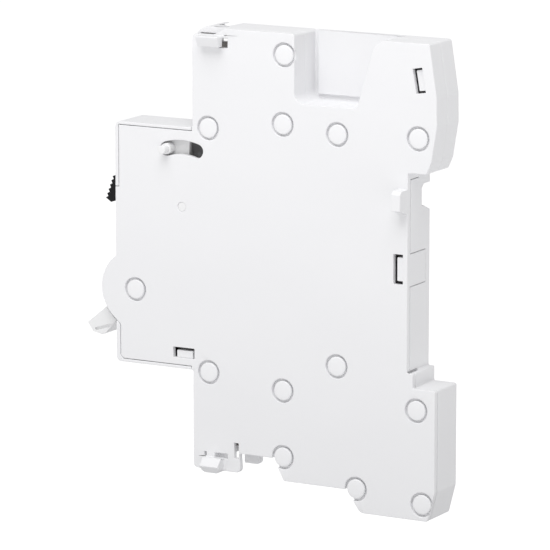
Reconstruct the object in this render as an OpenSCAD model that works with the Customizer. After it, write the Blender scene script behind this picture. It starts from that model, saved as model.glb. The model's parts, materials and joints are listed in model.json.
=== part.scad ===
// Half module auxiliary changeover contact block that clips to the side of a circuit breaker.
// X is the module width (the side that meets the breaker faces +X), -Y is the operating front,
// Y = 0 is the seat on the mounting rail, and Z = 0 is the rail's centre line. Millimetres.

/* [Housing] */
// Width of the half module
body_w = 8.9; // [8.8:0.1:9.2]
// Height of the housing above the rail's centre line
top_z = 42.4; // [42:0.1:44]
// Depth of the housing below the rail's centre line
bottom_z = 46; // [45.6:0.1:47]
// Depth from the rail seat to the operating front
front_y = 61.95; // [61.8:0.05:62.2]
// Depth from the rail seat to the two shoulders
shoulder_y = 45.15; // [45:0.05:45.6]
// Top of the operating front above the rail's centre line
nose_top = 23.45; // [23.2:0.05:24]
// Bottom of the operating front below the rail's centre line
nose_bottom = 22.65; // [22.4:0.05:23]
// Thickness of the two side walls
side_t = 1.2; // [1.1:0.05:1.3]
// Thickness of the walls round the edge
rim_t = 1.2; // [1.1:0.05:1.3]
// Thin rim that frames the cover on the operating front
frame_t = 0.7; // [0.6:0.05:0.8]
// Visible joint between the base and the cover
joint_gap = 0.12; // [0.08:0.01:0.16]
// Radius of the outer corners
corner_r = 1; // [0.5:0.1:1.3]
// Radius of the corner above the upper shoulder
brow_r = 2.6; // [1.5:0.1:3]
// Foot of the near top edge's ramp, measured from the rail seat
ramp_y = 40.7; // [40.5:0.1:40.9]
// Front end of the far top edge's notch, measured from the rail seat
notch_front = 42.2; // [42.1:0.05:42.3]
// Rear end of that notch
notch_rear = 39.3; // [39:0.1:39.6]
// Height of that notch's lower end
notch_z = 41.5; // [41.45:0.05:41.6]

/* [Rail side] */
// Width of the mounting rail that the recess takes
rail_w = 35; // [34.8:0.1:35.2]
// Spare height of the recess over the rail's width
rail_play = 2.1; // [1.6:0.1:2.4]
// How far the lug and the lower block stand behind the rail seat
lug_y = 5.8; // [5.5:0.1:6.2]
// Depth of the step under the rail
step_y = 1.2; // [1:0.1:1.5]
// Height of that step
step_h = 2.75; // [2.5:0.05:3]

/* [Busbar pocket] */
// Front wall of the pocket, measured from the rail seat
pocket_front = 23.55; // [23.4:0.05:23.7]
// Rear end of the pocket's floor
pocket_rear = 10.6; // [10.4:0.1:11.2]
// Height of the pocket's floor
pocket_floor = 29.55; // [29.4:0.05:30]
// How far the pocket's rear flank leans back at the top
pocket_lean = 3.9; // [3.6:0.1:4.2]
// Wall left behind the pocket
web_t = 1.4; // [1.2:0.05:1.6]
// Width of the break line round that wall
break_w = 0.9; // [0.7:0.1:1.2]
// Depth of the break line
break_d = 0.6; // [0.4:0.05:0.8]

/* [Lower edge] */
// Rear end of the front wire flat
flat_front_z = 37.7; // [37.5:0.05:37.9]
// Depth of the rear wire flat
flat_rear_z = 41.85; // [41.6:0.05:42.1]
// Depth of the plate in front of the wire flats
plate_z = 41.4; // [41.2:0.05:41.7]
// Width of the slot beside that plate
plate_slot = 0.95; // [0.8:0.05:1.1]
// Front end of that slot, measured from the rail seat
slot_y = 36.35; // [36.2:0.05:36.5]
// Depth of that slot's upper end
slot_top = 35.75; // [35.6:0.05:35.9]
// Rear end of the two skirts under the front wire flat
skirt_y = 34.9; // [34.7:0.05:35.1]

/* [Rivets] */
// Radius of a rivet's head
head_r = 1.85; // [1.75:0.05:1.95]
// Radius of the counterbore round the head
sink_r = 2.3; // [2.2:0.05:2.4]
// Depth of the head
head_t = 0.7; // [0.6:0.05:0.8]
// Radius of a rivet's shank
shank_r = 1.2; // [1:0.05:1.3]
// Wall of the bosses that take the shanks
boss_wall = 1.2; // [1:0.05:1.3]
// Height of the cover's collars over the bosses
collar_t = 0.3; // [0.2:0.05:0.4]

/* [Toggle] */
// Distance from the rail seat to the toggle's axle
toggle_y = 57.7; // [57.6:0.02:57.8]
// Height of the toggle's axle below the rail's centre line
toggle_z = 8.4; // [8.3:0.02:8.5]
// Radius of the two ears beside the toggle
ear_r = 7.44; // [7.4:0.02:7.5]
// Radius of the toggle's drum
drum_r = 6.85; // [6.75:0.05:6.95]
// Gap between the drum and the opening in the front
drum_gap = 0.3; // [0.25:0.05:0.4]
// Width of the handle
handle_w = 5.2; // [4.8:0.1:5.4]
// Depth of the ring in the drum that holds the spring
spring_room = 2.3; // [2:0.1:2.5]

/* [Coupling lever] */
// Distance from the rail seat to the lever's axle
lever_y = 47.5; // [47.4:0.02:47.6]
// Height of the lever's axle
lever_z = 8.24; // [8.1:0.02:8.4]
// Distance from the lever's axle to the coupling pin
pin_arm = 11.28; // [11.1:0.02:11.4]
// Radius of the coupling pin
pin_r = 0.8; // [0.7:0.05:0.9]
// How far the coupling pin stands out of the cover
pin_out = 1.9; // [1.5:0.1:2.5]
// Radius of the coupling pin's root
root_r = 1.05; // [0.95:0.05:1.15]
// How far that root stands out of the cover
root_out = 0.3; // [0.2:0.05:0.4]
// Half of the angle that the lever turns
lever_half = 16.8; // [15:0.2:17]
// Width of the curved slot for the pin
slot_w = 2.7; // [2.5:0.1:2.8]
// Thickness of the lever
lever_t = 1.4; // [1.2:0.1:1.5]
// Radius of the lever's and the rocker's axles
axle_r = 0.9; // [0.8:0.05:1]
// Running clearance round every axle
run = 0.05; // [0.03:0.01:0.08]

/* [Contacts] */
// Distance between the lever's axle and the rocker's axle
rocker_apart = 20; // [19.9:0.1:20.2]
// Length of the lever's lower arm
drive_arm = 7; // [6.8:0.1:7.2]
// Radius of the drive pin between lever and rocker
drive_r = 0.8; // [0.7:0.05:0.9]
// Clearance of the drive pin in the rocker's fork
fork_gap = 0.15; // [0.12:0.01:0.2]
// Distance from the rocker's axle to the moving contact
blade_reach = 15.8; // [15.6:0.1:16]
// Thickness of the moving blade
blade_t = 0.4; // [0.3:0.05:0.5]
// Height of each contact button over its carrier
button_t = 0.7; // [0.6:0.05:0.8]
// Radius of each contact button
button_r = 1.1; // [1:0.05:1.2]
// Gap left between buttons that touch
touch_gap = 0.05; // [0.03:0.01:0.08]
// Thickness of the current rails
rail_t = 0.8; // [0.7:0.05:0.9]
// Width of the current rails
rail_b = 2.2; // [2:0.1:2.4]

/* [Terminals] */
// Height of the upper terminal screw
upper_screw_z = 34.5; // [34.3:0.1:34.7]
// Depth of the front lower terminal screw below the rail's centre line
front_screw_z = 34.1; // [34:0.05:34.2]
// Depth of the rear lower terminal screw below the rail's centre line
rear_screw_z = 29.9; // [29.8:0.05:30]
// Radius of a screw's head
screw_head_r = 1.75; // [1.7:0.05:1.8]
// Thickness of a screw's head
screw_head_t = 1.2; // [1:0.1:1.3]
// Radius of a screw's thread
screw_r = 1.2; // [1.1:0.05:1.25]
// Radius of the bores that let a screwdriver in
access_r = 1.9; // [1.85:0.05:1.95]
// Clear opening of an open clamp
clamp_gap = 2.8; // [2.6:0.1:3]
// Thickness of the clamp nut
clamp_t = 1.4; // [1.2:0.1:1.5]
// Radius of a wire entry
wire_r = 1.4; // [1.3:0.05:1.5]
// Depth of the upper terminal's seat behind the rail seat
upper_seat_y = 42.6; // [42.5:0.05:42.8]
// Depth of the front lower terminal's seat behind the rail seat
front_seat_y = 35; // [34.8:0.1:35.4]
// Depth of the rear lower terminal's seat behind the rail seat
rear_seat_y = 23.4; // [23.2:0.1:23.8]
// Half height of the lugs and the clamp nuts
lug_half = 2.15; // [2.1:0.05:2.3]
// Side clearance of the clamp nuts
nut_side = 0.35; // [0.3:0.05:0.4]
// Side clearance of the lugs
lug_side = 0.3; // [0.2:0.05:0.3]
// Material of the lugs beside a screw's hole
hole_side = 0.4; // [0.3:0.05:0.5]
// Distance of the wire entries from the near wall
wire_side = 0.35; // [0.25:0.05:0.4]

/* [Test slider] */
// Height of the top of the slider's thumb piece
thumb_top = 12.9; // [12.8:0.05:13]
// Height of the bottom of the slider's thumb piece
thumb_bottom = 7.4; // [7.3:0.05:7.5]
// How far the thumb piece stands out of the front
thumb_out = 3.45; // [3:0.05:3.6]
// Width of the thumb piece
thumb_w = 4.6; // [4.4:0.1:4.8]
// Number of grip teeth
thumb_teeth = 6; // [4:1:7]
// Travel of the test slider
thumb_travel = 1.6; // [1.2:0.1:1.7]

/* [Hooks] */
// How far the top and bottom hooks stand out of the cover
hook_out = 2.5; // [2.2:0.1:2.8]
// How far the rail side hook stands out of the cover
rear_hook_out = 3.05; // [2.8:0.05:3.2]
// Width of the hooks
hook_w = 4.65; // [4.5:0.05:4.8]
// Front end of the top hook, measured from the rail seat
top_hook_y = 43.05; // [43:0.05:43.2]
// Height of the top hook's upper face, flush with the lowered edge
top_hook_z = 41.1; // [41:0.05:41.2]
// Thickness of the top hook
top_hook_t = 2; // [1.9:0.1:2.1]
// Front end of the bottom hook, measured from the rail seat
bottom_hook_y = 42.5; // [42.4:0.05:42.7]
// Depth of the bottom hook's upper face
bottom_hook_z = 38.9; // [38.8:0.05:39]
// Width of the bottom hook
bottom_hook_w = 3.9; // [3.8:0.1:4]
// Thickness of the bottom hook
bottom_hook_t = 2.8; // [2.7:0.05:2.9]
// Height of the rail side hook's upper face
rear_hook_z = 15.55; // [15.4:0.05:15.7]
// Width of the rail side hook
rear_hook_w = 1.9; // [1.8:0.1:2]
// Clearance of the receptacles round a neighbour's hooks
hook_gap = 0.3; // [0.2:0.05:0.4]

/* [Hidden] */
$fn = 48;
hw = body_w / 2;
in_x = hw - side_t;
part_x = 0.05;
collar_x = in_x - collar_t;
tongue_x = -2.9;
tongue_t = 0.85;
over = 1;
recess_half = (rail_w + rail_play) / 2;
boss_r = shank_r + boss_wall;
toggle_c = [-toggle_y, -toggle_z];
lever_c = [-lever_y, lever_z];
rocker_c = lever_c + rocker_apart * [cos(-45), sin(-45)];
rocker_half = atan2(drive_arm * sin(lever_half), rocker_apart - drive_arm * cos(lever_half));
rivets = [[-25.7, 38.4], [-41.8, 23.6], [-26, 25.5], [-14.6, 24.5], [2, 25], [-41.8, -22.75],
          [-25.95, -24.6], [-14.6, -18.8], [1.95, -25.35], [-25.9, -37.3], [-10.5, -41.55], [3.2, -42.9]];
white = "#f2f2f0";
dark = "#202022";
grey = "#b9bcbf";
copper = "#c98a5b";
silver = "#d5d8da";
steel = "#9fa5aa";

// Main corners of the side view as [y, z, corner radius], clockwise seen from the breaker
corners = [
  [-front_y, nose_top, corner_r],
  [-shoulder_y, nose_top, 0.4],
  [-shoulder_y, top_z, brow_r],
  [-pocket_front, top_z, 0.6],
  [-pocket_front, pocket_floor, 2],
  [-pocket_rear, pocket_floor, 0.9],
  [pocket_lean - pocket_rear, top_z, 3],
  [lug_y - 1.6, top_z, 0.5],
  [lug_y - 0.1, top_z - 9.6, 3],
  [lug_y, recess_half + 8.85, 3],
  [lug_y - 1.1, recess_half + 2.15, 2],
  [lug_y - 2.05, recess_half, 0.5],
  [0, recess_half, 0.3],
  [0, -recess_half, 0.3],
  [step_y, -recess_half, 0.3],
  [step_y, -recess_half - step_h, 0.3],
  [lug_y, -recess_half - step_h, 0.4],
  [lug_y, 5.5 - bottom_z, 1],
  [lug_y - 1.4, -bottom_z, 0.5],
  [-9.6, -bottom_z, 1.6],
  [-12.5, -flat_rear_z, 0.4],
  [-25.75, -flat_rear_z, 0.6],
  [-27.85, -flat_front_z, 0.4],
  [-skirt_y - 0.3, -flat_front_z, 0.4],
  [-skirt_y, -plate_z, 0.9],
  [-shoulder_y, -plate_z, 0.9],
  [-shoulder_y, -nose_bottom, 0.4],
  [-front_y, -nose_bottom, corner_r]
];

function unit(v) = v / norm(v);
function flat2(p) = [p[0], p[1]];
function wrap(a) = a > 180 ? a - 360 : a < -180 ? a + 360 : a;
function polar(c, r, a) = c + r * [cos(a), sin(a)];

// A corner replaced by points of an arc of radius r
function round_corner(p0, p1, p2, r, steps = 5) =
  let(a = unit(p0 - p1), b = unit(p2 - p1), half = acos(a * b) / 2)
  let(c = p1 + unit(a + b) * r / sin(half), s = p1 + a * r / tan(half) - c, e = p1 + b * r / tan(half) - c)
  let(from = atan2(s[1], s[0]), turn = wrap(atan2(e[1], e[0]) - from))
  [for (i = [0 : steps]) polar(c, r, from + turn * i / steps)];

function rounded(pts) = let(n = len(pts))
  [for (i = [0 : n - 1], p = round_corner(flat2(pts[(i + n - 1) % n]), flat2(pts[i]),
                                          flat2(pts[(i + 1) % n]), pts[i][2])) p];

// The same outline moved inwards by t
function inset(pts, t) = let(n = len(pts))
  [for (i = [0 : n - 1])
    let(p0 = flat2(pts[(i + n - 1) % n]), p1 = flat2(pts[i]), p2 = flat2(pts[(i + 1) % n]))
    let(a = unit(p1 - p0), b = unit(p2 - p1), na = [a[1], -a[0]], nb = [b[1], -b[0]])
    p1 + (na + nb) * t / (1 + na * nb)];

// Centre line points of a bent strip turned into its outline of width w
function strip(pts, w) = let(n = len(pts))
  let(side = [for (i = [0 : n - 1])
    let(a = unit(pts[i] - pts[max(i - 1, 0)] + (i == 0 ? pts[1] - pts[0] : [0, 0])))
    let(b = unit(pts[min(i + 1, n - 1)] - pts[i] + (i == n - 1 ? pts[n - 1] - pts[n - 2] : [0, 0])))
    let(na = [a[1], -a[0]], nb = [b[1], -b[0]]) (na + nb) * w / 2 / (1 + na * nb)])
  concat([for (i = [0 : n - 1]) pts[i] + side[i]], [for (i = [n - 1 : -1 : 0]) pts[i] - side[i]]);

// An upright shape of the side view between two planes of X
module slab(x0, x1) {
  translate([x0, 0, 0]) rotate([90, 0, 90]) linear_extrude(x1 - x0) children();
}

// A round bar or bore along X at a point of the side view
module bar(c, r, x0, x1) {
  translate([x0, c[0], c[1]]) rotate([0, 90, 0]) cylinder(h = x1 - x0, r = r);
}

// A round bar or bore along Y
module bar_y(x, z, r, y0, y1) {
  translate([x, y1, z]) rotate([90, 0, 0]) cylinder(h = y1 - y0, r = r);
}

// A shape of the front view, as [x, z], between two planes of Y
module ridge(y0, y1) {
  translate([0, y1, 0]) rotate([90, 0, 0]) linear_extrude(y1 - y0) children();
}

module block(x0, x1, y0, y1, z0, z1) {
  translate([x0, y0, z0]) cube([x1 - x0, y1 - y0, z1 - z0]);
}

module rect(y0, y1, z0, z1) {
  translate([y0, z0]) square([y1 - y0, z1 - z0]);
}

// Round wire along a list of points, with ref a direction that it never takes
module wire(path, r, ref) {
  n = len(path);
  sides = 8;
  rings = [for (i = [0 : n - 1])
    let(t = unit(path[min(i + 1, n - 1)] - path[max(i - 1, 0)]), u = unit(cross(t, ref)), v = cross(t, u))
    for (k = [0 : sides - 1]) path[i] + r * (cos(360 * k / sides) * u + sin(360 * k / sides) * v)];
  skin = [for (i = [0 : n - 2], k = [0 : sides - 1])
    let(a = i * sides + k, b = i * sides + (k + 1) % sides)
    each [[a, b, b + sides], [a, b + sides, a + sides]]];
  start = [for (k = [sides - 1 : -1 : 0]) k];
  end = [for (k = [0 : sides - 1]) (n - 1) * sides + k];
  polyhedron(points = rings, faces = concat([start], skin, [end]), convexity = 6);
}

module silhouette() {
  polygon(rounded(corners));
  translate(toggle_c) circle(r = ear_r);
}

// Part of the side view that the near cover closes, grown by g
module cover_zone(g) {
  rise = 10.95;
  polygon([
    [-shoulder_y - 0.15 - g, nose_top + over], [-shoulder_y - 0.15 - g, nose_top - frame_t + g],
    [-front_y + frame_t + 0.1 - g, nose_top - frame_t + g], [-front_y + frame_t + 0.1 - g, rise + g],
    [-front_y - over - ear_r, rise + g], [-front_y - over - ear_r, -14.75 - g], [-front_y + 0.25, -14.75 - g],
    [-front_y + 0.95 - g, -15.45 - g], [-front_y + 0.95 - g, 1.25 - nose_bottom],
    [-front_y + 1.55 - g, frame_t - nose_bottom - g],
    [-shoulder_y - 0.35 - g, frame_t - nose_bottom - g], [-shoulder_y - 0.35 - g, -nose_bottom - over],
    [-shoulder_y - 0.35 - g, -bottom_z - over], [lug_y + over, -bottom_z - over], [lug_y + over, top_z + over],
    [-shoulder_y - 0.15 - g, top_z + over]]);
}

// The wall round the edge, as seen from the side
module edge_wall() {
  difference() {
    polygon(rounded(corners));
    polygon(inset(corners, rim_t));
    translate(toggle_c) circle(r = drum_r + drum_gap);
  }
}

// Where the cover carries the edge wall: round the pocket and the lug
module lug_zone(g) {
  rect(-pocket_front - rim_t - g, lug_y + over, recess_half - rim_t - 0.1 - g, top_z + over);
}

// Where the cover's tongue closes the middle of the rail wall
module tongue_zone(g) {
  rect(-tongue_t - g, g > 0 ? over : 0, -2.6 - g, 3.4 + g);
}

module bosses() {
  intersection() {
    for (c = rivets) translate(c) circle(r = boss_r);
    polygon(rounded(corners));
  }
}

module base_bosses() {
  slab(-hw, part_x) bosses();
  slab(part_x - joint_gap, collar_x) difference() {
    bosses();
    lug_zone(joint_gap);
  }
}

// Low collars that clear the base's wall, and full bosses where the cover has its own wall
module cover_bosses() {
  slab(collar_x, hw) intersection() {
    bosses();
    polygon(inset(corners, rim_t + joint_gap));
  }
  slab(part_x, hw) intersection() {
    bosses();
    lug_zone(0);
  }
}

// Snap windows as slanted rectangles: centre, width, height and lean
snaps = [[[2.13, 35.6], 1.95, 4.6, 10], [[-1.95, 0.6], 1.95, 5.6, 0], [[-47.2, -19.62], 4.6, 2, 0]];

module snap_shape(s, dy0, dy1, dz0, dz1) {
  translate(s[0]) rotate(s[3]) rect(dy0 - s[1] / 2, s[1] / 2 - dy1, dz0 - s[2] / 2, s[2] / 2 - dz1);
}

module snap_tongues() {
  tip = hw - 0.35;
  slab(-in_x - 0.2, tip) snap_shape(snaps[0], 0.65, 0, 0.6, 0.6);
  slab(-in_x - 0.2, tip) snap_shape(snaps[1], 0.65, 0, 0.6, 0.6);
  slab(-in_x - 0.2, tip) snap_shape(snaps[2], 0.65, 0.5, 0, 0.6);
}

// Curved slot that the coupling pin moves in
module pin_slot() {
  reach = 2 * pin_arm;
  translate(lever_c) {
    intersection() {
      difference() {
        circle(r = pin_arm + slot_w / 2);
        circle(r = pin_arm - slot_w / 2);
      }
      polygon([[0, 0], reach * [sin(-lever_half), cos(lever_half)], [0, reach],
               reach * [sin(lever_half), cos(lever_half)]]);
    }
    for (a = [90 - lever_half, 90 + lever_half]) translate(polar([0, 0], pin_arm, a)) circle(r = slot_w / 2);
  }
}

// The four-sided space between the pocket's walls
pocket_shape = [[-pocket_front, top_z], [-pocket_front, pocket_floor], [-pocket_rear, pocket_floor],
                [pocket_lean - pocket_rear, top_z - 3], [pocket_lean - pocket_rear + 3, top_z]];

module pocket_web() {
  difference() {
    slab(-hw, web_t - hw) polygon(pocket_shape);
    slab(web_t - break_d - hw, web_t - hw + over) {
      rect(-pocket_front, break_w - pocket_front, pocket_floor, top_z + over);
      rect(-pocket_front, -pocket_rear, pocket_floor, pocket_floor + break_w);
    }
  }
}

// Distances of the parts of a terminal behind the face that its screw head seats on
head_gap = 0.05;
nut_front = rail_t + clamp_gap;
screw_tip = nut_front + clamp_t + 0.4;
screw_x = lug_side + hole_side + run + screw_r - in_x;
wire_x = in_x - wire_side - wire_r;
upper_seat = -upper_seat_y;
front_seat = -front_seat_y;
rear_seat = -rear_seat_y;

// Wire entries stand over the middle of the open clamps
function wire_y(seat) = seat + rail_t + clamp_gap / 2;

module wire_entry(seat, z0, z1) {
  translate([wire_x, wire_y(seat), z0]) cylinder(h = z1 - z0, r = wire_r);
}

// Side view of the rail side hook from its root at X = 0, grown by g
module rear_hook_shape(g) {
  tip_z = rear_hook_z - 3.7 - g;
  polygon([[-side_t, rear_hook_z + g], [rear_hook_out - 0.7, rear_hook_z + g],
           [rear_hook_out + g, rear_hook_z - 0.6], [rear_hook_out + g, tip_z], [rear_hook_out - 0.6, tip_z],
           [0, tip_z - 1], [-side_t, tip_z - 1]]);
}

// Openings in the far wall that take a neighbour's hooks
module receptacles() {
  depth = hook_out + hook_gap;
  half = hook_gap / 2;
  block(-hw - over, depth - hw, -top_hook_y - hook_gap, hook_w - top_hook_y + hook_gap,
        top_hook_z - top_hook_t - hook_gap, top_hook_z + half);
  ridge(-rear_hook_w - hook_gap, over) translate([-hw, 0]) rear_hook_shape(half);
  block(-hw - over, depth - hw, -bottom_hook_y - half, bottom_hook_w - bottom_hook_y + half,
        -plate_z - over, hook_gap - bottom_hook_z);
}

// A sloping notch in the far top edge, with a thin slot in front of it
module brow_notch() {
  lean = (top_z - notch_z) / (hw + 0.2);
  slot_z = notch_z + 0.06;
  roof = top_z - 0.2;
  ridge(-notch_front, -notch_rear)
    polygon([[-hw - over, notch_z - lean * over], [-hw + (top_z + over - notch_z) / lean, top_z + over],
             [-hw - over, top_z + over]]);
  ridge(-notch_front - 0.9, -notch_front + 0.1)
    polygon([[-hw - over, slot_z - lean * over], [-hw + (roof - slot_z) / lean, roof], [-hw - over, roof]]);
}

// The near top edge is lowered as far as the top hook, and ramps up behind it
module brow_cut() {
  slab(in_x - over, hw + over)
    polygon(rounded([[-shoulder_y - over, top_hook_z, 0.1], [-ramp_y, top_hook_z, 2],
                     [-ramp_y + 2 * (top_z + over - top_hook_z), top_z + over, 0.1],
                     [-shoulder_y - over, top_z + over, 0.1]]));
}

// A thin gap between the rear wall and the step under the rail
module step_gap() {
  block(0.3, hw - 0.3, -rim_t / 2, 0.35, -recess_half - 0.35, over / 4 - recess_half);
}

// Edge wall, with a floor above the two skirts in place of a wall round their lower edge
module base_wall() {
  difference() {
    edge_wall();
    rect(rim_t - shoulder_y, over - skirt_y, -plate_z - over, -flat_front_z);
  }
  rect(rim_t / 2 - shoulder_y, 1.5 - skirt_y, -flat_front_z, rim_t - flat_front_z);
}

module base_shell() {
  color(white) difference() {
    union() {
      slab(-hw, -in_x) silhouette();
      slab(-in_x, in_x) base_wall();
      slab(in_x, hw) difference() {
        silhouette();
        cover_zone(joint_gap);
      }
      base_bosses();
      pocket_web();
      snap_tongues();
      bar(lever_c, axle_r + boss_wall, -in_x - 0.1, -in_x + 0.15);
    }
    slab(part_x, hw + over) lug_zone(joint_gap);
    slab(tongue_x, in_x + over) tongue_zone(joint_gap);
    for (c = rivets) bar(c, shank_r, 0.8 - hw, hw);
    bar(toggle_c, shank_r, 0.8 - hw, hw);
    bar(lever_c, axle_r, 0.5 - hw, 0);
    bar(rocker_c, axle_r, 0.5 - hw, 0);
    slab(-hw - over, -in_x + over / 4) pin_slot();
    slab(-thumb_w / 2 + 0.6, thumb_w / 2 - 0.6)
      rect(-front_y - over, -front_y + rim_t + 0.2, thumb_bottom - thumb_travel, thumb_top - 0.3);
    bar_y(screw_x, upper_screw_z, access_r, -shoulder_y - over, upper_seat);
    bar_y(screw_x, -front_screw_z, access_r, -shoulder_y - over, front_seat);
    bar_y(screw_x, -rear_screw_z, access_r, -shoulder_y - over, rear_seat);
    wire_entry(upper_seat, top_z - rim_t - 0.5, top_z + over);
    wire_entry(front_seat, -flat_front_z - over, -flat_front_z + rim_t + 0.3);
    wire_entry(rear_seat, -flat_rear_z - over, -flat_rear_z + rim_t + 0.3);
    receptacles();
    brow_notch();
    step_gap();
    side_slot(part_x + 0.3);
  }
}

// The slot beside the near skirt
module side_slot(x0) {
  block(x0, hw + over, -slot_y, plate_slot - slot_y, -flat_front_z - over, -slot_top);
}

// A hook whose outer face leans back towards its lower edge
module top_hook() {
  out = hw + hook_out;
  low = top_hook_z - top_hook_t;
  ridge(-top_hook_y, hook_w - top_hook_y)
    polygon([[in_x + 0.2, top_hook_z], [out, top_hook_z], [out, top_hook_z - 0.4], [out - 0.8, low], [in_x + 0.2, low]]);
}

module rear_hook() {
  ridge(-rear_hook_w, 0) translate([hw, 0]) rear_hook_shape(0);
}

// A hook with a ramp above, an undercut face below it and rounded lower corners
module bottom_hook() {
  out = hw + hook_out;
  y0 = -bottom_hook_y;
  y1 = bottom_hook_w - bottom_hook_y;
  low = -bottom_hook_z - bottom_hook_t;
  intersection() {
    ridge(y0, y1)
      polygon([[in_x + 0.2, -bottom_hook_z], [out - 1.35, -bottom_hook_z], [out, -bottom_hook_z - bottom_hook_t / 2],
               [out - 1, low], [in_x + 0.2, low]]);
    slab(in_x, out + over)
      polygon(rounded([[y0, -bottom_hook_z, 0.2], [y1, -bottom_hook_z, 0.2], [y1, low, 0.9], [y0, low, 0.9]]));
  }
}

// Openings of the near skirt and of the near top edge beside the hooks, as blocks of Y and Z
module hook_windows() {
  slab(in_x - over, hw + over / 2) {
    rect(-39.5, -37.6, 38.8, 40.6);
    rect(-bottom_hook_y - 0.35, 0.2 - bottom_hook_y, -bottom_hook_z, 0.85 - bottom_hook_z);
    rect(1.95 - bottom_hook_y, -37.7, -bottom_hook_z - 0.1, 0.85 - bottom_hook_z);
  }
}

module cover_shell() {
  color(white) difference() {
    union() {
      slab(in_x, hw) intersection() {
        silhouette();
        cover_zone(0);
      }
      slab(part_x, in_x) intersection() {
        edge_wall();
        lug_zone(0);
      }
      slab(tongue_x + joint_gap, in_x) tongue_zone(0);
      cover_bosses();
      bar(rocker_c, axle_r + boss_wall, in_x - 0.6, in_x + 0.1);
      top_hook();
      rear_hook();
      bottom_hook();
    }
    for (c = rivets) {
      bar(c, shank_r, 0, hw);
      bar(c, sink_r, hw - head_t, hw + over);
    }
    bar(toggle_c, shank_r, 0, hw);
    bar(toggle_c, sink_r, hw - head_t, hw + over);
    bar(lever_c, axle_r, 0, hw + over);
    bar(rocker_c, axle_r, 0, hw - 0.5);
    slab(in_x - over, hw + over) {
      pin_slot();
      for (s = snaps) snap_shape(s, 0, 0, 0, 0);
    }
    hook_windows();
    brow_cut();
    step_gap();
    wire_entry(upper_seat, top_z - rim_t - 0.5, top_z + over);
    side_slot(0);
  }
}

module rivet(c) {
  bar(c, shank_r, 0.9 - hw, hw - head_t);
  bar(c, head_r, hw - head_t, hw);
}

module housing_rivets() {
  color(grey) for (c = rivets) rivet(c);
}

module toggle_axle() {
  color(grey) rivet(toggle_c);
}

module lever_axle() {
  color(white) bar(lever_c, axle_r, 0.6 - hw, hw - 0.05);
}

module rocker_axle() {
  color(copper) bar(rocker_c, axle_r, 0.6 - hw, hw - 0.6);
}

// Side view of the handle, from the drum's upper to its lower edge
handle = [[7.67, 4.58, 1.2], [9.36, 5.06, 0.8], [11.77, 7.68, 0.5], [11.53, 8.39, 0.5], [10.34, 9.69, 0.6],
          [8.22, 10, 0.8], [5.41, 8.82, 0.4], [5.46, 6.89, 0.6]];

module toggle() {
  near = in_x - 0.3;
  far = -in_x + 0.55;
  root = [polar([0, 0], drum_r - 0.1, 50), polar([0, 0], 3, 45), polar([0, 0], drum_r - 0.1, 25)];
  color(white) difference() {
    union() {
      bar(toggle_c, drum_r, far, near);
      slab(-handle_w / 2, handle_w / 2) translate(toggle_c) mirror([1, 0]) mirror([0, 1])
        polygon(concat([root[1], root[2]],
                       rounded(concat([[root[2][0], root[2][1], 0.3]], handle, [[root[0][0], root[0][1], 0.3]]))));
    }
    bar(toggle_c, shank_r + run, -hw, hw);
    difference() {
      bar(toggle_c, 3.4, far - over, far + spring_room);
      bar(toggle_c, 1.9, far - 2 * over, far + spring_room + over);
    }
  }
}

// Turns of wire along X round a point of the side view, then a straight leg to a point
function coil_x(c, x0, x1, r, from, turns, leg) = concat(
  [for (i = [0 : turns * 12])
    let(p = polar(c, r, from + 30 * i)) [x0 + (x1 - x0) * i / (turns * 12), p[0], p[1]]],
  [[x1, leg[0], leg[1]]]);

module toggle_spring() {
  far = -in_x + 0.55;
  color(steel) wire(coil_x(toggle_c, far + 1.8, far - 0.28, 2.65, 0, 4, toggle_c + [-0.2, -8.4]), 0.2, [1, 0, 0]);
}

module lever_spring() {
  color(steel) wire(coil_x(lever_c, 0.3, 2.3, 1.95, 90, 4, lever_c + [-5.5, 2.3]), 0.2, [1, 0, 0]);
}

module coupling_lever() {
  x1 = -0.2;
  x0 = x1 - lever_t;
  pin = polar(lever_c, pin_arm, 90 + lever_half);
  drive = polar(lever_c, drive_arm, lever_half - 45);
  up = unit(pin - lever_c);
  down = unit(drive - lever_c);
  across = [-up[1], up[0]];
  side = [-down[1], down[0]];
  color(white) difference() {
    union() {
      slab(x0, x1) {
        polygon([lever_c + 2.3 * across, pin + 1.7 * across, pin - 1.7 * across, lever_c - 2.3 * across]);
        polygon([lever_c + 2.2 * side, drive + 1.4 * side, drive - 1.4 * side, lever_c - 2.2 * side]);
        translate(lever_c) circle(r = 2.7);
        translate(pin) circle(r = 1.7);
        translate(drive) circle(r = 1.4);
      }
      bar(lever_c, 1.55, x1 - 0.1, in_x - 0.65);
      bar(lever_c, 1.55, -in_x + 0.25, x0 + 0.1);
      bar(pin, pin_r, x1 - 0.1, hw + pin_out);
      bar(pin, root_r, x1 - 0.1, hw + root_out);
      bar(pin, 1.3, -in_x + 0.2, x0 + 0.1);
      bar(drive, drive_r, x1 - 0.1, 1.5);
    }
    bar(lever_c, axle_r + run, -hw, hw);
    bar(pin, pin_r + run, -hw, x0 + 0.1);
  }
}

module contact_rocker() {
  arm = 135 - rocker_half;
  blade = -rocker_half;
  color(white) difference() {
    union() {
      bar(rocker_c, 2.7, -2, 2);
      slab(0.1, 1.7) translate(rocker_c) rotate(arm) rect(0, rocker_apart - drive_arm + 1.5, -1.9, 1.9);
      slab(-2, 2) translate(rocker_c) rotate(blade) rect(0, 6.5, -1.3, 1.3);
    }
    bar(rocker_c, axle_r + run + 0.7, -hw, hw);
    slab(0, 2) translate(rocker_c) rotate(arm)
      rect(rocker_apart - drive_arm - 1.5, rocker_apart, -drive_r - fork_gap, drive_r + fork_gap);
    slab(-hw, hw) translate(rocker_c) rotate(blade) rect(0, 8, -blade_t / 2, blade_t / 2);
  }
}

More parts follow.
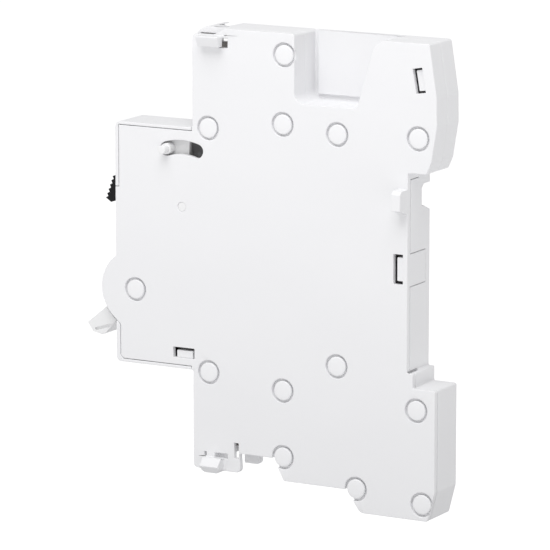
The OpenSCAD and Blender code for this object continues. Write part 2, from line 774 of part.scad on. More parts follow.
module rocker_bush() {
  color(copper) difference() {
    bar(rocker_c, axle_r + run + 0.7, -2, 2);
    bar(rocker_c, axle_r + run, -hw, hw);
  }
}

module contact_blade() {
  color(copper) difference() {
    slab(-rail_b / 2, rail_b / 2) translate(rocker_c) rotate(-rocker_half)
      rect(0, blade_reach + button_r + 0.3, -blade_t / 2, blade_t / 2);
    bar(rocker_c, axle_r + run + 0.7, -hw, hw);
    at_contact(-rocker_half) cylinder(h = 4, r = button_r / 2, center = true);
  }
}

// Stands at the moving contact's centre when the rocker is at angle a, with Z square to the blade
module at_contact(a) {
  translate([0, rocker_c[0], rocker_c[1]]) rotate([a, 0, 0]) translate([0, blade_reach, 0]) children();
}

module moving_contact() {
  face = blade_t / 2 + button_t;
  color(silver) at_contact(-rocker_half) {
    translate([0, 0, blade_t / 2]) cylinder(h = button_t, r = button_r);
    translate([0, 0, -face]) cylinder(h = button_t, r = button_r);
    cylinder(h = blade_t, r = button_r / 2, center = true);
  }
}

// Height of a fixed contact's carrier over the blade's middle when the contacts touch
carrier = blade_t / 2 + button_t + touch_gap + button_t;

module break_contact() {
  color(silver) at_contact(-rocker_half) translate([0, 0, -carrier]) cylinder(h = button_t, r = button_r);
}

module make_contact() {
  color(silver) at_contact(rocker_half) translate([0, 0, carrier - button_t]) cylinder(h = button_t, r = button_r);
}

// Upright plate that a terminal screw passes through
module terminal_lug(seat, z, x0, x1) {
  difference() {
    block(x0, x1, seat, seat + rail_t, z - lug_half, z + lug_half);
    bar_y(screw_x, z, screw_r + run, seat - over, seat + over + rail_t);
  }
}

module common_rail() {
  x0 = -in_x;
  color(copper) {
    terminal_lug(upper_seat, upper_screw_z, x0, in_x - lug_side);
    difference() {
      union() {
        block(x0, in_x - lug_side, upper_seat, upper_seat + rail_t, upper_screw_z - 4.6, upper_screw_z - lug_half);
        slab(x0, x0 + rail_t) polygon(strip([[upper_seat, upper_screw_z - 3.5], [-39.5, upper_screw_z - 3.5],
                                             [-37, 28.5], [-37, 12], rocker_c], rail_b));
        bar(rocker_c, axle_r + 1.1, x0, x0 + rail_t);
      }
      bar(rocker_c, axle_r, -hw, hw);
    }
  }
}

// Tab that carries a fixed contact, square to the blade at angle a, on the side s
module contact_tab(a, s) {
  low = s > 0 ? carrier : -carrier - rail_t;
  at_contact(a) translate([-rail_b / 2, -rail_b / 2, low]) cube([in_x - 0.1 + rail_b / 2, rail_b, rail_t]);
}

module break_rail() {
  x0 = in_x - rail_t;
  end = rocker_c + polar([0, 0], blade_reach, -rocker_half);
  color(copper) {
    terminal_lug(front_seat, -front_screw_z, -in_x + lug_side, in_x);
    slab(x0, in_x) polygon(strip([[front_seat + rail_b / 2, -front_screw_z - lug_half],
                                  [front_seat + rail_b / 2, -18], [-25, -13.5],
                                  [end[0] + 0.2, end[1] - carrier - rail_b / 2]], rail_b));
    contact_tab(-rocker_half, -1);
  }
}

module make_rail() {
  x0 = in_x - rail_t;
  end = rocker_c + polar([0, 0], blade_reach, rocker_half);
  color(copper) {
    terminal_lug(rear_seat, -rear_screw_z, -in_x + lug_side, in_x);
    slab(x0, in_x) polygon(strip([[rear_seat + rail_b / 2, -rear_screw_z - lug_half],
                                  [rear_seat + rail_b / 2, -26.3], [-20.5, -24.4], [-13, -23.8], [-9.6, -20],
                                  [-9.6, -1.5], [-11.5, 0.2], [end[0] - 0.6, end[1] + carrier + rail_b / 2]], rail_b));
    contact_tab(rocker_half, 1);
  }
}

module terminal_screw(seat, z) {
  head = seat - head_gap - screw_head_t;
  color(steel) difference() {
    union() {
      bar_y(screw_x, z, screw_head_r, head, head + screw_head_t);
      bar_y(screw_x, z, screw_r, head + screw_head_t / 2, seat + screw_tip);
    }
    block(screw_x - 2, screw_x + 2, head - over, head + 0.6, z - 0.3, z + 0.3);
    block(screw_x - 0.3, screw_x + 0.3, head - over, head + 0.6, z - 1.2, z + 1.2);
  }
}

module clamp_nut(seat, z) {
  y0 = seat + nut_front;
  color(steel) difference() {
    block(-in_x + nut_side, in_x - nut_side - rail_t, y0, y0 + clamp_t, z - lug_half, z + lug_half);
    bar_y(screw_x, z, screw_r + run, y0 - over, y0 + clamp_t + over);
  }
}

module upper_screw() { terminal_screw(upper_seat, upper_screw_z); }
module front_screw() { terminal_screw(front_seat, -front_screw_z); }
module rear_screw() { terminal_screw(rear_seat, -rear_screw_z); }
module upper_clamp() { clamp_nut(upper_seat, upper_screw_z); }
module front_clamp() { clamp_nut(front_seat, -front_screw_z); }
module rear_clamp() { clamp_nut(rear_seat, -rear_screw_z); }

module test_slider() {
  y1 = -front_y - 0.1;
  inner = -front_y + rim_t;
  rise = (thumb_top - thumb_bottom - 1.6) / thumb_teeth;
  top_out = 1.5;
  teeth = [for (i = [0 : thumb_teeth - 1], k = [0, 1])
    [y1 - top_out - (thumb_out - top_out) * (i + k * 0.35) / thumb_teeth + (k == 0 ? 0.3 : 0),
     thumb_top - 0.4 - rise * (i + k * 0.8)]];
  color(dark) {
    slab(-thumb_w / 2, thumb_w / 2)
      polygon(concat([[y1, thumb_bottom], [y1, thumb_top]], teeth,
                     [[y1 - thumb_out + 0.1, thumb_bottom + 0.8], [y1 - thumb_out + 1.1, thumb_bottom]]));
    slab(-thumb_w / 2 + 0.75, thumb_w / 2 - 0.75) rect(y1 - 0.2, inner + 0.3, thumb_bottom + 0.2, thumb_top - 0.5);
    slab(-thumb_w / 2, thumb_w / 2) rect(inner + 0.15, inner + 1.5, thumb_bottom - 0.6, thumb_top + 3.5);
  }
}

module slider_spring() {
  y = -front_y + rim_t + 0.85;
  r = 0.5;
  turns = 7;
  top = thumb_bottom - 0.6;
  low = 0.4;
  wire_d = 0.3;
  color(steel) wire([for (i = [0 : 12 * turns])
    [r * cos(30 * i), y + r * sin(30 * i), low + wire_d / 2 + (top - low - wire_d) * i / turns / 12]],
    wire_d / 2, [0, 0, 1]);
}

base_shell();
cover_shell();
housing_rivets();
toggle_axle();
lever_axle();
rocker_axle();
toggle();
toggle_spring();
coupling_lever();
lever_spring();
contact_rocker();
rocker_bush();
contact_blade();
moving_contact();
common_rail();
break_rail();
make_rail();
break_contact();
make_contact();
upper_screw();
front_screw();
rear_screw();
upper_clamp();
front_clamp();
rear_clamp();
test_slider();
slider_spring();
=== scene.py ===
import json
import math

import bmesh
import bpy
from mathutils import Matrix, Vector
from mathutils.geometry import delaunay_2d_cdt


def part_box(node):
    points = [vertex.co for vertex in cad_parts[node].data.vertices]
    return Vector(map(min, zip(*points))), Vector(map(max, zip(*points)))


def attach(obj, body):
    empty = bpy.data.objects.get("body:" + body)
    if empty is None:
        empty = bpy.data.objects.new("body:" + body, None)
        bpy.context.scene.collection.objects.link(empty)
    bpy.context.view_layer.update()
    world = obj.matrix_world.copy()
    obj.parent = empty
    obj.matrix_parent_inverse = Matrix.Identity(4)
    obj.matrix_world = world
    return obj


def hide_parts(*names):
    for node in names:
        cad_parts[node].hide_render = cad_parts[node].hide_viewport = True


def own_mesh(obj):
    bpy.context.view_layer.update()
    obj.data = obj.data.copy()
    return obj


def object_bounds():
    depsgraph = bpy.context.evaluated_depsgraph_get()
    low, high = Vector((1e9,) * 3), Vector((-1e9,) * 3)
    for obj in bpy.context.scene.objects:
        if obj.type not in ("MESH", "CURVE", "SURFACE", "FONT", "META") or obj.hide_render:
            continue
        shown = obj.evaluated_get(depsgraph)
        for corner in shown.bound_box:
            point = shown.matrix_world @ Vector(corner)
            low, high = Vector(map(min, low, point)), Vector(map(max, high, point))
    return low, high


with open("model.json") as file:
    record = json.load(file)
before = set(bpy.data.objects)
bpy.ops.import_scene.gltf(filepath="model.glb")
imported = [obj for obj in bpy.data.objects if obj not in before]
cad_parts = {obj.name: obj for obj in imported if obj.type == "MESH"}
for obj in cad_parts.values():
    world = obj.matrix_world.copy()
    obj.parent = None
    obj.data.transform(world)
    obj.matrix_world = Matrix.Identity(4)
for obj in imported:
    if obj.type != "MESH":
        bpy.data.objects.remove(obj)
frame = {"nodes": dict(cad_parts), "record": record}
cad_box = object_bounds()

MM = 0.001

# Camera, as read from the photograph: its focal length in pixels, the sensor in mm
IMAGE_SIDE = 550.0
FOCAL_PIXELS = 4321.0
SENSOR = 36.0
TURN = math.radians(29.07)
TILT = math.radians(11.04)
DISTANCE = 800.2 * MM
LOOK_AT = Vector((4.45, -28.5, -2.05)) * MM
SIDE_STEP = 0.833 * MM
UP_STEP = -0.833 * MM
CLIP_NEAR, CLIP_FAR = 0.01, 20

# Studio, in metres
FLOOR_HALF = 3
FLOOR_DROP = 60 * MM
FLOOR_COLOR = (0.5, 0.5, 0.505)
FLOOR_ROUGHNESS = 0.9
FLOOR_GLOW = 0.75
GLOW_FROM, GLOW_TO = 0.08, 0.18
WORLD_STRENGTH = 0.56
KEY_PLACE = (0.21, 0.012, 0.361)
KEY_TARGET = (0, -0.028, 0)
KEY_SIZE = 0.3
KEY_POWER = 1.06

# Shields on the lever, in mm and degrees round its axle
LEVER_AXLE = (-47.5, 8.24)
SHIELD_RADII = (9.3, 13.1)
NEAR_SHIELD_ANGLES = (136, 86)
NEAR_SHIELD_X = (1.9, 2.8)
FAR_SHIELD_ANGLES = (118, 66)
FAR_SHIELD_X = (-2.35, -1.75)
SHIELD_STEPS = 14

# Snap tongue in the lug's window, in mm
LUG_WINDOW = (2.13, 35.6)
LUG_TONGUE_X = (-0.25, 3.85)
LUG_TONGUE_Y = (-0.52, 0.88)
LUG_TONGUE_HALF = 1.92
LUG_LEAN = math.radians(10)

# Toggle, in mm
TOGGLE_AXLE = (-57.7, -8.4)
DRUM_X = (-2.7, 2.95)
DRUM_RADIUS = 6.85
DRUM_BORE = 1.25
DRUM_STEPS = 96
SPRING_POCKET = (1.9, 3.4, 2.3)
HANDLE_HALF = 2.6
HANDLE_STEP = 2.2
HANDLE_OVERLAP = 0.05
HANDLE_ROOT = [(-62.04, -13.57), (-59.8, -10.5), (-63.82, -11.25)]
HANDLE_TOP = [(-65.33, -12.85), (-69.44, -16.2), (-68.27, -17.88), (-66.34, -18.31),
              (-65.56, -18.07)]
HANDLE_HEEL = [(-63.87, -16.13), (-63.07, -15.22)]
HANDLE_GROOVE = [(-64.2, -16.6), (-67.75, -17.65), (-67.82, -17.15), (-64.56, -16.13)]

# Test slider, in mm
SLIDER_HALF = 2.3
STEM_HALF = 1.55
SLIDER_FRONT = -62.05
TEETH = 6
FIRST_TOOTH = (-63.88, 12.43)
TOOTH_STEP = (-0.304, -0.846)
TOOTH_ROOT = (0.26, -0.52)
THUMB_BACK = [(SLIDER_FRONT, 7.72), (SLIDER_FRONT, 12.58), (-63.5, 12.58)]
THUMB_FOOT = [(-64.21, 7.42), (-63.41, 7.72)]
STEM = [(-62.25, 7.6), (-60.45, 7.6), (-60.45, 12.4), (-62.25, 12.4)]
CARRIER = [(-60.6, 6.8), (-59.25, 6.8), (-59.25, 16.4), (-60.6, 16.4)]

# Rivets: the head's outer radius, the shank's, the head's depth and its rolled edge
RIVET_HEAD = 1.85 * MM
RIVET_SHANK = 1.2 * MM
RIVET_DEPTH = 0.7 * MM
RIVET_ROLL = 0.22 * MM
ROLL_STEPS = 4
DOME_RISE = 0.03 * MM
DOME_SHOULDER = (0.8 * MM, 0.025 * MM)
RIVET_STEPS = 56
HEAD_FACING = 0.99
HEAD_LEVEL = 0.01 * MM

# The flat on which the two shells meet, between these places in X, and how far it opens
PARTING_X = (3.15 * MM, 3.3 * MM)
SEAM_SHIFT = 0.09 * MM

# Widths of the rounded edges
SHELL_ROUND = 0.14 * MM
LEVER_ROUND = 0.12 * MM
AXLE_ROUND = 0.22 * MM
SCREW_ROUND = 0.08 * MM
HANDLE_ROUND = 0.1 * MM
SHIELD_ROUND = 0.1 * MM
TONGUE_ROUND = 0.12 * MM
TOOTH_ROUND = 0.05 * MM
ROUND_SEGMENTS = 3
TOOTH_SEGMENTS = 2

# Meshes
SHARP_ANGLE = math.radians(28)
FLAT_ANGLE = math.radians(0.4)
MERGE_DISTANCE = 0.002 * MM
NORMAL_WEIGHT = 80
FILL_INSIDE = 1
FILL_TOLERANCE = 1e-5

# Patterns in the materials
NOISE_RANGE = (0.3, 0.7)
FLOW_SCALE, FLOW_DETAIL, FLOW_STRETCH = 45, 3, (0.6, 1, 1.8)
GRAIN_DETAIL = 4
PLASTIC_SPREAD = 0.06
LINE_SCALE, LINE_DETAIL, LINE_STRENGTH = 900, 3, 0.15
METAL_SMOOTHER, METAL_ROUGHER = 0.08, 0.1
GRAIN_DEPTH = 0.01 * MM


def new_material(name, color, roughness, metallic=0.0):
    material = bpy.data.materials.new(name)
    material.use_nodes = True
    shader = material.node_tree.nodes["Principled BSDF"]
    shader.inputs["Base Color"].default_value = (*color, 1)
    shader.inputs["Roughness"].default_value = roughness
    shader.inputs["Metallic"].default_value = metallic
    return material, material.node_tree, shader


def noise(tree, coordinates, scale, detail, stretch=(1, 1, 1)):
    mapping = tree.nodes.new("ShaderNodeMapping")
    mapping.inputs["Scale"].default_value = stretch
    texture = tree.nodes.new("ShaderNodeTexNoise")
    texture.inputs["Scale"].default_value = scale
    texture.inputs["Detail"].default_value = detail
    tree.links.new(coordinates.outputs["Object"], mapping.inputs["Vector"])
    tree.links.new(mapping.outputs["Vector"], texture.inputs["Vector"])
    return texture.outputs["Fac"]


def mapped(tree, source, source_range, low, high):
    """The source's range spread between two values."""
    ramp = tree.nodes.new("ShaderNodeMapRange")
    ramp.inputs["From Min"].default_value = source_range[0]
    ramp.inputs["From Max"].default_value = source_range[1]
    ramp.inputs["To Min"].default_value = low
    ramp.inputs["To Max"].default_value = high
    tree.links.new(source, ramp.inputs["Value"])
    return ramp.outputs["Result"]


def blended_color(tree, factor, low, high):
    mix = tree.nodes.new("ShaderNodeMix")
    mix.data_type = "RGBA"
    mix.inputs["A"].default_value = (*low, 1)
    mix.inputs["B"].default_value = (*high, 1)
    tree.links.new(factor, mix.inputs["Factor"])
    return mix.outputs["Result"]


def bumped(tree, shader, height, strength):
    bump = tree.nodes.new("ShaderNodeBump")
    bump.inputs["Strength"].default_value = strength
    bump.inputs["Distance"].default_value = GRAIN_DEPTH
    tree.links.new(height, bump.inputs["Height"])
    tree.links.new(bump.outputs["Normal"], shader.inputs["Normal"])


def plastic(name, low, high, roughness, grain, grain_strength, specular=0.5):
    """Moulded plastic: faint flow marks in its colour, and a fine spark-eroded grain."""
    material, tree, shader = new_material(name, high, roughness)
    shader.inputs["Specular IOR Level"].default_value = specular
    coordinates = tree.nodes.new("ShaderNodeTexCoord")
    flow = noise(tree, coordinates, FLOW_SCALE, FLOW_DETAIL, FLOW_STRETCH)
    tree.links.new(blended_color(tree, flow, low, high), shader.inputs["Base Color"])
    fine = noise(tree, coordinates, grain, GRAIN_DETAIL)
    gloss = mapped(tree, fine, NOISE_RANGE, roughness - PLASTIC_SPREAD, roughness + PLASTIC_SPREAD)
    tree.links.new(gloss, shader.inputs["Roughness"])
    bumped(tree, shader, fine, grain_strength)
    return material


def metal(name, low, high, roughness, stretch):
    """Drawn or rolled metal: fine lines along its length."""
    material, tree, shader = new_material(name, high, roughness, 1.0)
    coordinates = tree.nodes.new("ShaderNodeTexCoord")
    lines = noise(tree, coordinates, LINE_SCALE, LINE_DETAIL, stretch)
    tree.links.new(blended_color(tree, lines, low, high), shader.inputs["Base Color"])
    gloss = mapped(tree, lines, NOISE_RANGE, roughness - METAL_SMOOTHER, roughness + METAL_ROUGHER)
    tree.links.new(gloss, shader.inputs["Roughness"])
    bumped(tree, shader, lines, LINE_STRENGTH)
    return material


FINISH = {
    "housing_plastic": plastic("housing_white", (0.83, 0.83, 0.845), (0.86, 0.86, 0.873),
                               roughness=0.5, grain=5200, grain_strength=0.25),
    "mechanism_plastic": plastic("mechanism_white", (0.83, 0.83, 0.835), (0.86, 0.86, 0.865),
                                 roughness=0.42, grain=2600, grain_strength=0.12),
    "rivet_finish": plastic("rivet_white", (0.85, 0.85, 0.865), (0.88, 0.88, 0.893),
                            roughness=0.38, grain=1800, grain_strength=0.1),
    "slider_plastic": plastic("slider_black", (0.005, 0.005, 0.006), (0.009, 0.009, 0.010),
                              roughness=0.5, grain=2600, grain_strength=0.3, specular=0.18),
    "brass_parts": metal("brass_strip", (0.60, 0.42, 0.20), (0.74, 0.54, 0.28),
                         roughness=0.34, stretch=(1, 1, 8)),
    "contact_metal": metal("contact_silver", (0.70, 0.70, 0.69), (0.84, 0.84, 0.83),
                           roughness=0.28, stretch=(1, 6, 1)),
    "screw_steel": metal("zinc_steel", (0.48, 0.49, 0.50), (0.66, 0.67, 0.69),
                         roughness=0.32, stretch=(6, 1, 1)),
    "spring_wire": metal("spring_steel", (0.30, 0.31, 0.32), (0.46, 0.47, 0.48),
                         roughness=0.3, stretch=(1, 1, 1)),
}
BEHAVIOUR = frame["record"]["behaviour"]
SLOT = {part["node"]: part["material_slot"] for part in frame["record"]["subparts"]}
BODY = {node: body for body, nodes in BEHAVIOUR["bodies"].items() for node in nodes}


def finish_cad_nodes():
    for name, node in frame["nodes"].items():
        node.data.materials.clear()
        node.data.materials.append(FINISH[SLOT[name]])


def merged_copy(node):
    """The CAD node's mesh with its loose triangles joined into whole faces."""
    mesh = bmesh.new()
    mesh.from_mesh(frame["nodes"][node].data)
    bmesh.ops.remove_doubles(mesh, verts=mesh.verts, dist=MERGE_DISTANCE)
    bmesh.ops.dissolve_limit(mesh, angle_limit=FLAT_ANGLE, verts=mesh.verts, edges=mesh.edges)
    return mesh


def round_edges(mesh, width, segments=ROUND_SEGMENTS):
    sharp = [e for e in mesh.edges if len(e.link_faces) == 2 and e.calc_face_angle() > SHARP_ANGLE]
    bmesh.ops.bevel(mesh, geom=sharp, offset=width, offset_type="OFFSET", affect="EDGES",
                    segments=segments, profile=0.5, material=-1, clamp_overlap=False)


def flat_regions(mesh):
    """Groups of faces that join in one plane, where a group is more than one plain quad."""
    seen = set()
    for face in mesh.faces:
        if face in seen:
            continue
        seen.add(face)
        region, waiting = [face], [face]
        while waiting:
            for edge in waiting.pop().edges:
                for other in edge.link_faces:
                    if other not in seen and other.normal.angle(face.normal, math.pi) < FLAT_ANGLE:
                        seen.add(other)
                        region.append(other)
                        waiting.append(other)
        if len(region) > 1 or len(face.verts) > 4:
            yield region


def rim_of(region):
    """Edges with the region on one side only, in the same order each run."""
    members = set(region)
    edges = dict.fromkeys(e for f in region for e in f.edges)
    return [e for e in edges if sum(f in members for f in e.link_faces) == 1]


def is_inside(point, rim):
    """Whether a ray from the point along +x crosses the rim an odd number of times."""
    crossed = False
    for a, b in rim:
        if (a.y > point.y) != (b.y > point.y):
            if point.x < a.x + (point.y - a.y) / (b.y - a.y) * (b.x - a.x):
                crossed = not crossed
    return crossed


def retile_flats(mesh):
    """Fills each flat region again inside its rim, so that faces with holes close cleanly."""
    for region in list(flat_regions(mesh)):
        rim = rim_of(region)
        corners = list(dict.fromkeys(v for e in rim for v in e.verts))
        order = {v: i for i, v in enumerate(corners)}
        widest = max(region, key=lambda f: f.calc_area())
        flatten = widest.normal.to_track_quat("Z", "Y").inverted()
        lift = flatten.inverted()
        height = (flatten @ corners[0].co).z
        points = [(flatten @ v.co).xy / MM for v in corners]
        rim_pairs = [(order[e.verts[0]], order[e.verts[1]]) for e in rim]
        rim_lines = [(points[a], points[b]) for a, b in rim_pairs]
        places, _, tiles, sources, _, _ = delaunay_2d_cdt(points, rim_pairs, [], FILL_INSIDE,
                                                          FILL_TOLERANCE)
        bmesh.ops.delete(mesh, geom=region, context="FACES_ONLY")
        verts = [corners[source[0]] if source
                 else mesh.verts.new(lift @ Vector((*(place * MM), height)))
                 for place, source in zip(places, sources)]
        for tile in tiles:
            middle = sum((places[i] for i in tile), Vector((0, 0))) / len(tile)
            if is_inside(middle, rim_lines):
                mesh.faces.new([verts[i] for i in tile])
    bmesh.ops.delete(mesh, geom=[e for e in mesh.edges if not e.link_faces], context="EDGES")


def finished_piece(mesh, name, node):
    """A smooth piece with the finish, the slot and the body of a CAD node."""
    slot, body = SLOT[node], BODY[node]
    for face in mesh.faces:
        face.smooth = True
    data = bpy.data.meshes.new(name)
    mesh.to_mesh(data)
    mesh.free()
    data.materials.append(FINISH[slot])
    piece = bpy.data.objects.new(name, data)
    bpy.context.scene.collection.objects.link(piece)
    even = piece.modifiers.new("even_normals", "WEIGHTED_NORMAL")
    even.weight = NORMAL_WEIGHT
    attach(piece, body)
    return piece


def open_seam(mesh, shift):
    """Moves the flat that meets the other shell, so that the seam shows as a fine gap."""
    for vert in mesh.verts:
        if PARTING_X[0] < vert.co.x < PARTING_X[1]:
            vert.co.x += shift


def keep_inside(mesh, low, high):
    """Brings back the few corners that rounding pushes past the CAD node's box."""
    for vert in mesh.verts:
        vert.co = [min(max(value, least), most)
                   for value, least, most in zip(vert.co, low, high)]


def softened(node, width, seam_shift=0):
    """A moulded piece: the CAD node's shape with its edges rounded."""
    mesh = merged_copy(node)
    open_seam(mesh, seam_shift)
    round_edges(mesh, width)
    keep_inside(mesh, *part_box(node))
    retile_flats(mesh)
    piece = finished_piece(mesh, node + "_moulded", node)
    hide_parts(node)


def turned(mesh, profile, middle, steps):
    """Spins a profile of (distance from the axis, X) round an axis along X through middle."""
    points = [mesh.verts.new((x, middle[0] + r, middle[1])) for r, x in profile]
    edges = [mesh.edges.new(pair) for pair in zip(points, points[1:])]
    bmesh.ops.spin(mesh, geom=points + edges, cent=(0, *middle), axis=(1, 0, 0),
                   angle=2 * math.pi, steps=steps, use_merge=True)


def close_turned(mesh):
    """Joins the poles of what was turned, and faces it outwards."""
    bmesh.ops.remove_doubles(mesh, verts=mesh.verts, dist=MERGE_DISTANCE)
    bmesh.ops.recalc_face_normals(mesh, faces=mesh.faces)


def plate(mesh, outline, x0, x1):
    """A plate with its outline in Y and Z, in mm, between two places in X."""
    rim = [mesh.verts.new((x0 * MM, y * MM, z * MM)) for y, z in outline]
    face = mesh.faces.new(rim)
    grown = bmesh.ops.extrude_face_region(mesh, geom=[face])["geom"]
    raised = [v for v in grown if isinstance(v, bmesh.types.BMVert)]
    bmesh.ops.translate(mesh, verts=raised, vec=((x1 - x0) * MM, 0, 0))
    bmesh.ops.recalc_face_normals(mesh, faces=mesh.faces)


def around(middle, radius, angles):
    """Points on a circle in Y and Z, at angles in degrees."""
    y, z = middle
    return [(y + radius * math.cos(angle), z + radius * math.sin(angle))
            for angle in map(math.radians, angles)]


def sector(middle, inner, outer, start, end):
    """The outline of a part of a ring."""
    angles = [start + (end - start) * i / SHIELD_STEPS for i in range(SHIELD_STEPS + 1)]
    return around(middle, inner, angles) + around(middle, outer, reversed(angles))


def shields():
    """Plates on the lever that close the two curved slots behind its pin."""
    mesh = bmesh.new()
    plate(mesh, sector(LEVER_AXLE, *SHIELD_RADII, *NEAR_SHIELD_ANGLES), *NEAR_SHIELD_X)
    plate(mesh, sector(LEVER_AXLE, *SHIELD_RADII, *FAR_SHIELD_ANGLES), *FAR_SHIELD_X)
    round_edges(mesh, SHIELD_ROUND)
    finished_piece(mesh, "lever_shields", "coupling_lever")


def lug_tongue():
    """The snap tongue that shows in the lug's window, leaning as the window does."""
    mesh = bmesh.new()
    front, back = LUG_TONGUE_Y
    corners = [(front, -LUG_TONGUE_HALF), (back, -LUG_TONGUE_HALF),
               (back, LUG_TONGUE_HALF), (front, LUG_TONGUE_HALF)]
    lean = Matrix.Rotation(LUG_LEAN, 2)
    outline = [Vector(LUG_WINDOW) + lean @ Vector(corner) for corner in corners]
    plate(mesh, outline, *LUG_TONGUE_X)
    round_edges(mesh, TONGUE_ROUND)
    finished_piece(mesh, "lug_tongue", "base_shell")


def toggle():
    """A drum with its spring pocket, and a handle with a grooved near face."""
    mesh = bmesh.new()
    far, near = DRUM_X
    hub, rim, deep = SPRING_POCKET
    profile = [(DRUM_BORE, far), (hub, far), (hub, far + deep), (rim, far + deep), (rim, far),
               (DRUM_RADIUS, far), (DRUM_RADIUS, near), (DRUM_BORE, near), (DRUM_BORE, far)]
    middle = [v * MM for v in TOGGLE_AXLE]
    turned(mesh, [(r * MM, x * MM) for r, x in profile], middle, DRUM_STEPS)
    close_turned(mesh)
    plate(mesh, HANDLE_ROOT + HANDLE_TOP + HANDLE_HEEL, -HANDLE_HALF, HANDLE_STEP)
    plate(mesh, HANDLE_TOP + HANDLE_GROOVE + HANDLE_HEEL, HANDLE_STEP - HANDLE_OVERLAP, HANDLE_HALF)
    round_edges(mesh, HANDLE_ROUND)
    retile_flats(mesh)
    piece = finished_piece(mesh, "toggle_lever", "toggle")
    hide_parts("toggle")


def saw_teeth():
    """Tips and roots of the thumb piece's teeth, from the top down, without a last root."""
    points = []
    for i in range(TEETH):
        tip = [first + i * step for first, step in zip(FIRST_TOOTH, TOOTH_STEP)]
        points += [tip, [tip[0] + TOOTH_ROOT[0], tip[1] + TOOTH_ROOT[1]]]
    return points[:-1]


def test_slider():
    """The slider's thumb piece with its saw teeth, on a stem and a carrier inside."""
    mesh = bmesh.new()
    plate(mesh, THUMB_BACK + saw_teeth() + THUMB_FOOT, -SLIDER_HALF, SLIDER_HALF)
    plate(mesh, STEM, -STEM_HALF, STEM_HALF)
    plate(mesh, CARRIER, -SLIDER_HALF, SLIDER_HALF)
    round_edges(mesh, TOOTH_ROUND, TOOTH_SEGMENTS)
    retile_flats(mesh)
    piece = finished_piece(mesh, "slider_thumb", "test_slider")
    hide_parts("test_slider")


def slider_coil():
    """The spring under the slider, which shortens as the slider comes down."""
    node = "slider_spring"
    coil = finished_piece(merged_copy(node), "slider_coil", node)
    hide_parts(node)
    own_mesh(coil)


def rivet_profile(near, far):
    """A slightly domed head with a rolled edge, and a plain shank."""
    crown, bend = RIVET_HEAD - RIVET_ROLL, near - RIVET_ROLL
    turns = [math.radians(90 * i / ROLL_STEPS) for i in range(ROLL_STEPS + 1)]
    rolled = [(crown + RIVET_ROLL * math.sin(a), bend + RIVET_ROLL * math.cos(a)) for a in turns]
    dome = [(0, near + DOME_RISE), (DOME_SHOULDER[0], near + DOME_SHOULDER[1])]
    under = near - RIVET_DEPTH
    return dome + rolled + [(RIVET_HEAD, under), (RIVET_SHANK, under), (RIVET_SHANK, far), (0, far)]


def rivet_heads(node):
    """The heads' place in X, and their middles in Y and Z, from the node's head faces."""
    mesh = merged_copy(node)
    top = max(v.co.x for v in mesh.verts)
    middles = [face.calc_center_bounds() for face in mesh.faces
               if face.normal.x > HEAD_FACING
               and abs(face.calc_center_median().x - top) < HEAD_LEVEL]
    mesh.free()
    return top, [(m.y, m.z) for m in middles]


def rivets(node, name):
    top, middles = rivet_heads(node)
    mesh = bmesh.new()
    for middle in middles:
        turned(mesh, rivet_profile(top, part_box(node)[0].x), middle, RIVET_STEPS)
    close_turned(mesh)
    piece = finished_piece(mesh, name, node)
    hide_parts(node)


def pale_floor():
    """Pale and matt near the object, and lit up to white further out."""
    material, tree, shader = new_material("pale_floor", FLOOR_COLOR, FLOOR_ROUGHNESS)
    coordinates = tree.nodes.new("ShaderNodeTexCoord")
    reach = tree.nodes.new("ShaderNodeVectorMath")
    reach.operation = "LENGTH"
    tree.links.new(coordinates.outputs["Object"], reach.inputs[0])
    glow = mapped(tree, reach.outputs["Value"], (GLOW_FROM, GLOW_TO), 0, FLOOR_GLOW)
    tree.links.new(glow, shader.inputs["Emission Strength"])
    shader.inputs["Emission Color"].default_value = (1, 1, 1, 1)
    return material


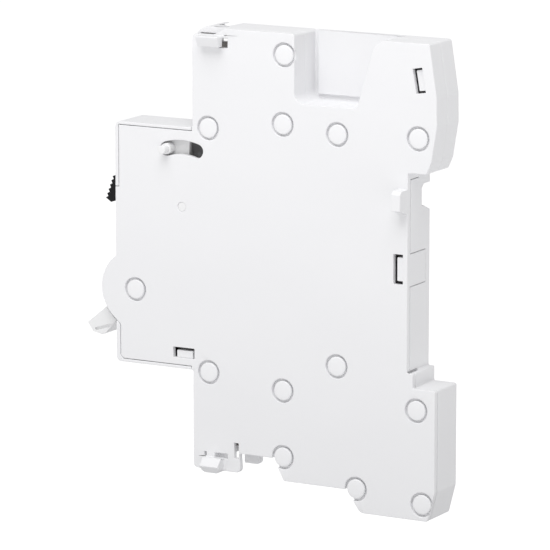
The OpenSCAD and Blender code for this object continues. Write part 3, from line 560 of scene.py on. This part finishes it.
def studio():
    floor_mesh = bmesh.new()
    bmesh.ops.create_grid(floor_mesh, x_segments=1, y_segments=1, size=FLOOR_HALF)
    floor_data = bpy.data.meshes.new("floor")
    floor_mesh.to_mesh(floor_data)
    floor_mesh.free()
    floor = bpy.data.objects.new("floor", floor_data)
    floor.location.z = cad_box[0][2] - FLOOR_DROP
    bpy.context.scene.collection.objects.link(floor)
    floor_data.materials.append(pale_floor())

    world = bpy.data.worlds.new("studio")
    world.use_nodes = True
    background = world.node_tree.nodes["Background"]
    background.inputs["Color"].default_value = (1, 1, 1, 1)
    background.inputs["Strength"].default_value = WORLD_STRENGTH
    bpy.context.scene.world = world
    bpy.context.scene.view_settings.view_transform = "Standard"


def key_light():
    """A softbox above, on the near side."""
    light = bpy.data.lights.new("key", "AREA")
    light.shape = "SQUARE"
    light.size = KEY_SIZE
    light.energy = KEY_POWER
    lamp = bpy.data.objects.new("key", light)
    lamp.location = KEY_PLACE
    aim = Vector(KEY_TARGET) - Vector(KEY_PLACE)
    lamp.rotation_euler = aim.to_track_quat("-Z", "Y").to_euler()
    bpy.context.scene.collection.objects.link(lamp)


def camera():
    away = Vector((math.cos(TURN) * math.cos(TILT), math.sin(TURN) * math.cos(TILT),
                   math.sin(TILT)))
    right = Vector((-math.sin(TURN), math.cos(TURN), 0))
    up = away.cross(right)
    lens = bpy.data.cameras.new("photo_view")
    lens.sensor_fit = "HORIZONTAL"
    lens.sensor_width = SENSOR
    lens.lens = FOCAL_PIXELS / IMAGE_SIDE * SENSOR
    lens.clip_start = CLIP_NEAR
    lens.clip_end = CLIP_FAR
    view = bpy.data.objects.new("photo_view", lens)
    place = LOOK_AT + away * DISTANCE + right * SIDE_STEP + up * UP_STEP
    view.matrix_world = (Matrix.Translation(place)
                         @ Matrix((right, up, away)).transposed().to_4x4())
    bpy.context.scene.collection.objects.link(view)
    bpy.context.scene.camera = view


finish_cad_nodes()
softened("base_shell", SHELL_ROUND, -SEAM_SHIFT)
softened("cover_shell", SHELL_ROUND, SEAM_SHIFT)
toggle()
softened("coupling_lever", LEVER_ROUND)
softened("lever_axle", AXLE_ROUND)
test_slider()
slider_coil()
for screw in ("upper_screw", "front_screw", "rear_screw"):
    softened(screw, SCREW_ROUND)
shields()
lug_tongue()
rivets("housing_rivets", "rivet_heads")
rivets("toggle_axle", "toggle_rivet")
studio()
key_light()
camera()
